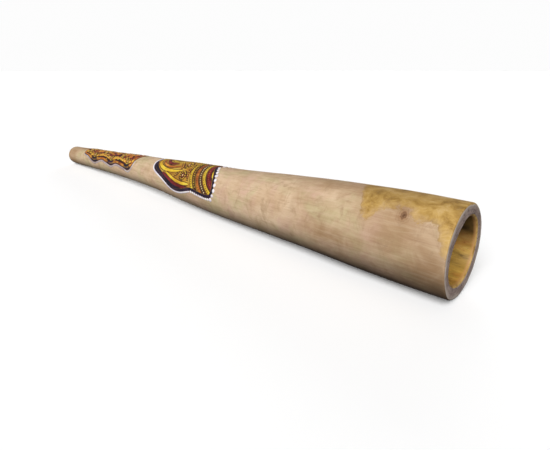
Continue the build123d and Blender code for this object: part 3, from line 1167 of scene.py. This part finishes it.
# The line that the small panel's waves follow, and each wave's shift up it, width and paint
SMALL_WAVE = [(124, 46), (160, 54), (190, 68), (232, 56), (260, 58), (295, 69), (326, 58),
              (362, 64), (390, 70), (410, 58)]
SMALL_WAVES = [(5, 2.4, "umber"), (32, 3.2, "maroon")]
# Shift up the wave, spacing, size and paint of each row of dots between the waves
SMALL_DOT_ROWS = [(-6, 7.5, 2.2, ochre), (14, 10.5, 2.4, yellow), (23, 8.5, 1.9, ochre)]
# Paint, slot, number, heights and seed of the dabs of paint scattered over the small panel
SMALL_DABS = {
    "dark": (umber, "violet_paint", 190, (0.45, 0.90), 31),
    "light": (ochre, "orange_paint", 220, (0.45, 0.94), 32),
    "red": (maroon, "orange_paint", 70, (0.45, 0.97), 33),
}
SMALL_ROSETTES = [(146, 22), (192, 48), (243, 20), (296, 49), (344, 22), (388, 50)]


SMALL_TOP_LINE = [(126, 0), (200, 0), (300, 0), (420, 0)]
ROSETTE = 9
# Half length and half width of a dab, and how far its middle keeps from the panel's edge, from
# a rosette's middle and from other dabs, where a distance along the trunk counts for less
DAB, DAB_MARGIN, DAB_CLEAR, DAB_APART, DAB_SPREAD = (5.2, 2.9), 6.5, 13, 6.8, 1.8


def scattered(panel, centres, count, seed):
    """Seeded places inside a panel, apart, and clear of its edge and of its rosettes."""
    draws = np.random.default_rng(seed)
    spots = []
    for spot in draws.uniform(panel.min(axis=0), panel.max(axis=0), (count, 2)):
        if all(np.hypot((spot[0] - s) / DAB_SPREAD, spot[1] - v) > DAB_APART for s, v in spots):
            spots.append(spot)
    spots = np.array(spots)
    return spots[(clear_of(spots, centres) > DAB_CLEAR) & inside(spots, panel, DAB_MARGIN)]


def wave(shift):
    """The small panel's wavy line, moved up by some degrees."""
    return smooth_line([(s, down - shift) for s, down in SMALL_WAVE], SMALL_RADIUS)


def small_panel_marks(radius, clip, centres):
    """The small panel's dabs, its rows of dots between the waves and the dots along its top."""
    for name, (material, slot, count, coat, seed) in SMALL_DABS.items():
        shapes = [blob(c, *DAB, k + seed)
                  for k, c in enumerate(scattered(clip, centres, count, seed))]
        film(f"small_panel_{name}_dabs", shapes, radius, coat, material, slot, edge=0.6)
    for k, (shift, spacing, size, material) in enumerate(SMALL_DOT_ROWS):
        row = np.vstack(mirrored([along(wave(shift), spacing)]))
        row = row[(clear_of(row, centres) > ROSETTE + size) & inside(row, clip, size)]
        dots(f"small_panel_wave_dots_{k}", row, radius, size, FIELD_COAT[1], material,
             "yellow_dots", seed=20 + k)
    dots("small_panel_top_dots", along(smooth_line(SMALL_TOP_LINE, radius), 9), radius, 1.7,
         FIELD_COAT[1], cream, "yellow_dots", "small_panel_dots")


def small_panel():
    """The panel near the blowing end: violet points, orange field, waves and rosettes."""
    radius = SMALL_RADIUS
    clip = ground("small_panel", saddle(SMALL_PATH, radius), radius, SMALL_BORDER, "violet_paint",
                  orange, "orange_paint")
    lines = mirrored_bands([(wave(shift), width, paint) for shift, width, paint in SMALL_WAVES])
    paint_bands("small_panel", lines, radius, clip, "violet_paint", {})
    points = [blob(c, 25, 12, k) for k, c in enumerate(on_both_sides(SMALL_LOW_POINTS, radius))]
    film("small_panel_points", points, radius, TOP_COAT, black, "violet_paint", clip=clip)
    centres = on_both_sides(SMALL_ROSETTES, radius)
    rosettes("small_panel", centres, ROSETTE, radius, clip, "orange_paint", "yellow_dots")
    small_panel_marks(radius, clip, centres)
    low = smooth_line(SMALL_PATH[0][2:-2], radius)
    low = low - left_of(low) * 2.6
    film("small_panel_outline", mirrored([stroke(low, 4.6, 6, 0.8)]), radius, EDGING_COAT, lilac,
         "lilac_paint", "small_panel_outline", edge=1.2)


large_panel()
small_panel()


# ---------------- light, floor and camera
CAMERA_AZIMUTH = math.radians(42.79)
CAMERA_PITCH = math.radians(21.53)
CAMERA_LENS = 26.18
CAMERA_FROM_BELL = (0.138, -0.507, 0.2213)
FLOOR_REACH = 40
SKY_LIGHT = 0.17
SKY_SEEN = 0.98
# Name, direction towards the light, strength, spread in degrees, and whether it shows in gloss
SOFT_LIGHTS = [
    ("key", (0.30, -0.74, 0.60), 4.32, 50, True),
    ("fill", (-0.45, 0.88, 0.08), 1.9, 50, False),
]


def add_camera():
    camera = bpy.data.cameras.new("camera")
    camera.lens = CAMERA_LENS
    camera.sensor_width = 36
    made = in_scene("camera", camera)
    made.location = Vector(MOUTH + AXIS * LENGTH * MM) + Vector(CAMERA_FROM_BELL)
    made.rotation_euler = (math.pi / 2 - CAMERA_PITCH, 0, CAMERA_AZIMUTH)
    bpy.context.scene.camera = made


def add_floor():
    """A plain pale floor that runs to the horizon."""
    mesh = bpy.data.meshes.new("floor")
    corners = [(math.cos(turn), math.sin(turn)) for turn in np.radians(np.arange(0, 360, 5))]
    mesh.from_pydata([(FLOOR_REACH * x, FLOOR_REACH * y, 0.0) for x, y in corners], [],
                     [tuple(range(len(corners)))])
    floor = in_scene("floor", mesh)
    material, _, shader = new_material("pale_floor")
    shader.inputs["Base Color"].default_value = (0.97, 0.97, 0.97, 1)
    shader.inputs["Roughness"].default_value = 0.95
    shader.inputs["Specular IOR Level"].default_value = 0.1
    mesh.materials.append(material)
    floor.visible_diffuse = floor.visible_glossy = False


def add_sky():
    """A pale backdrop all round that gives only a little light of its own."""
    world = bpy.data.worlds.new("sky")
    world.use_nodes = True
    tree = world.node_tree
    path = add_node(tree, "LightPath").outputs["Is Camera Ray"]
    span = add_node(tree, "MapRange", Value=path, **{"To Min": SKY_LIGHT, "To Max": SKY_SEEN})
    tree.links.new(span.outputs["Result"], tree.nodes["Background"].inputs["Strength"])
    tree.nodes["Background"].inputs["Color"].default_value = (1, 1, 1, 1)
    bpy.context.scene.world = world


def add_lights():
    """A large soft light from the camera's side and a weaker one from behind."""
    for name, towards, strength, softness, gloss in SOFT_LIGHTS:
        lamp = bpy.data.lights.new(name, "SUN")
        lamp.energy = strength
        lamp.angle = math.radians(softness)
        made = in_scene(name, lamp)
        made.rotation_euler = Vector(towards).to_track_quat("Z", "Y").to_euler()
        made.visible_glossy = gloss
    bpy.context.scene.view_settings.view_transform = "Standard"


add_camera()
add_floor()
add_sky()
add_lights()
